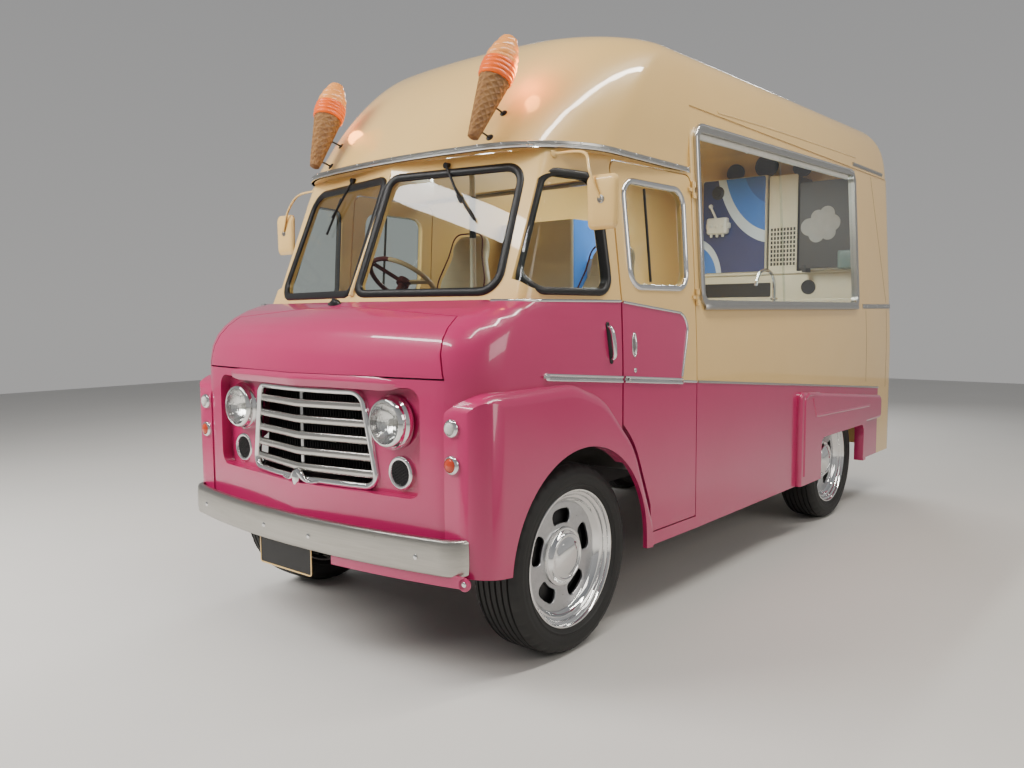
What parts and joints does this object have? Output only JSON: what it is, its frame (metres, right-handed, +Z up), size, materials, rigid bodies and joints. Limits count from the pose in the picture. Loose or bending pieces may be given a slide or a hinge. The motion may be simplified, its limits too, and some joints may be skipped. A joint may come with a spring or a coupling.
{
  "type": "ice cream truck",
  "caption": "Forward-control ice cream truck with a domed roof, serving hatch, hinged doors and bonnet, steered front wheels and cone-shaped lamps",
  "frame": {"origin": "On the ground midway between the two bumpers and the two sides", "axes": "+X points forward, +Y to the vehicle's left, +Z up"},
  "size_m": [5.4298, 2.34, 2.9257],
  "materials": {
    "pink_paint": "gloss pink enamel",
    "cream_paint": "gloss cream enamel",
    "chassis_black": "black chassis paint",
    "cast_metal": "cast engine block",
    "floor_plate": "worn floor plate",
    "inner_panel": "cream interior panel",
    "clear_glass": "clear window glass",
    "bright_aluminium": "anodised window frame",
    "seat_leather": "cream and maroon seat leather",
    "black_plastic": "black plastic",
    "counter_steel": "stainless worktop",
    "machine_blue": "blue and white machine casing",
    "satin_steel": "satin steel",
    "bright_chrome": "polished chrome",
    "lamp_amber": "amber and clear lenses",
    "lamp_cone": "wafer brown and cream lamp",
    "road_tyre": "black road tyre",
    "polished_alloy": "polished slotted alloy"
  },
  "bodies": {
    "root": {"body_side_left": "cream_paint", "body_side_right": "cream_paint", "box_floor": "floor_plate", "cab_floor": "floor_plate", "cab_sides": "pink_paint", "cab_upper": "cream_paint", "cabinets": "inner_panel", "chassis_frame": "chassis_black", "cone_lamps": "lamp_cone", "counter": "counter_steel", "cowl": "cream_paint", "dash": "inner_panel", "door_surround": "cream_paint", "drip_rail": "bright_chrome", "engine_block": "cast_metal", "engine_cover": "inner_panel", "fixed_glass": "clear_glass", "front_axle": "chassis_black", "front_bumper": "satin_steel", "front_fenders": "pink_paint", "grille": "bright_chrome", "hatch_frame": "bright_aluminium", "headlamps": "bright_chrome", "horn_grilles": "bright_chrome", "leaf_springs": "chassis_black", "machine": "machine_blue", "marker_lamps": "lamp_amber", "mirrors": "black_plastic", "nose_panel": "pink_paint", "rear_axle": "chassis_black", "rear_bumper": "satin_steel", "rear_fenders": "pink_paint", "rear_panel": "cream_paint", "roof": "cream_paint", "seat_backs": "seat_leather", "seat_bases": "chassis_black", "seat_cushions": "seat_leather", "steering_wheel": "black_plastic", "wipers": "black_plastic"},
    "knuckle_left": {"knuckle_left": "chassis_black"},
    "knuckle_right": {"knuckle_right": "chassis_black"},
    "wheel_front_left": {"tyre_front_left": "road_tyre", "rim_front_left": "polished_alloy"},
    "wheel_front_right": {"tyre_front_right": "road_tyre", "rim_front_right": "polished_alloy"},
    "wheel_rear_left": {"tyre_rear_left": "road_tyre", "rim_rear_left": "polished_alloy"},
    "wheel_rear_right": {"tyre_rear_right": "road_tyre", "rim_rear_right": "polished_alloy"},
    "door_left": {"door_left": "pink_paint", "door_glass_left": "clear_glass"},
    "door_right": {"door_right": "pink_paint", "door_glass_right": "clear_glass"},
    "bonnet": {"bonnet": "pink_paint"},
    "rear_door": {"rear_door": "cream_paint", "rear_door_glass": "clear_glass"}
  },
  "joints": [
    {"name": "steer_left", "type": "hinge", "parent": "root", "child": "knuckle_left", "pos_m": [1.885, 0.7, 0.42], "axis": [0, 0, 1], "range_deg": [-30, 30]},
    {"name": "steer_right", "type": "hinge", "parent": "root", "child": "knuckle_right", "pos_m": [1.885, -0.7, 0.42], "axis": [0, 0, 1], "range_deg": [-30, 30]},
    {"name": "spin_front_left", "type": "hinge", "parent": "knuckle_left", "child": "wheel_front_left", "pos_m": [1.885, 0.831, 0.42], "axis": [0, 1, 0], "continuous": true},
    {"name": "spin_rear_left", "type": "hinge", "parent": "root", "child": "wheel_rear_left", "pos_m": [-1.315, 0.831, 0.42], "axis": [0, 1, 0], "continuous": true},
    {"name": "spin_front_right", "type": "hinge", "parent": "knuckle_right", "child": "wheel_front_right", "pos_m": [1.885, -0.831, 0.42], "axis": [0, 1, 0], "continuous": true},
    {"name": "spin_rear_right", "type": "hinge", "parent": "root", "child": "wheel_rear_right", "pos_m": [-1.315, -0.831, 0.42], "axis": [0, 1, 0], "continuous": true},
    {"name": "door_left_swing", "type": "hinge", "parent": "root", "child": "door_left", "pos_m": [0.863, 0.994, 1.55], "axis": [0, -0.0559, 0.9984], "range_deg": [0, 75]},
    {"name": "door_right_swing", "type": "hinge", "parent": "root", "child": "door_right", "pos_m": [0.863, -0.994, 1.55], "axis": [0, -0.0559, -0.9984], "range_deg": [0, 75]},
    {"name": "bonnet_lift", "type": "hinge", "parent": "root", "child": "bonnet", "pos_m": [2.415, 0, 1.53], "axis": [0, -1, 0], "range_deg": [0, 75]},
    {"name": "rear_door_swing", "type": "hinge", "parent": "root", "child": "rear_door", "pos_m": [-2.684, -0.369, 1.5], "axis": [0, 0, 1], "range_deg": [0, 100]}
  ],
  "couplings": [
    {"joint": "steer_right", "follows": "steer_left", "ratio": 1}
  ]
}
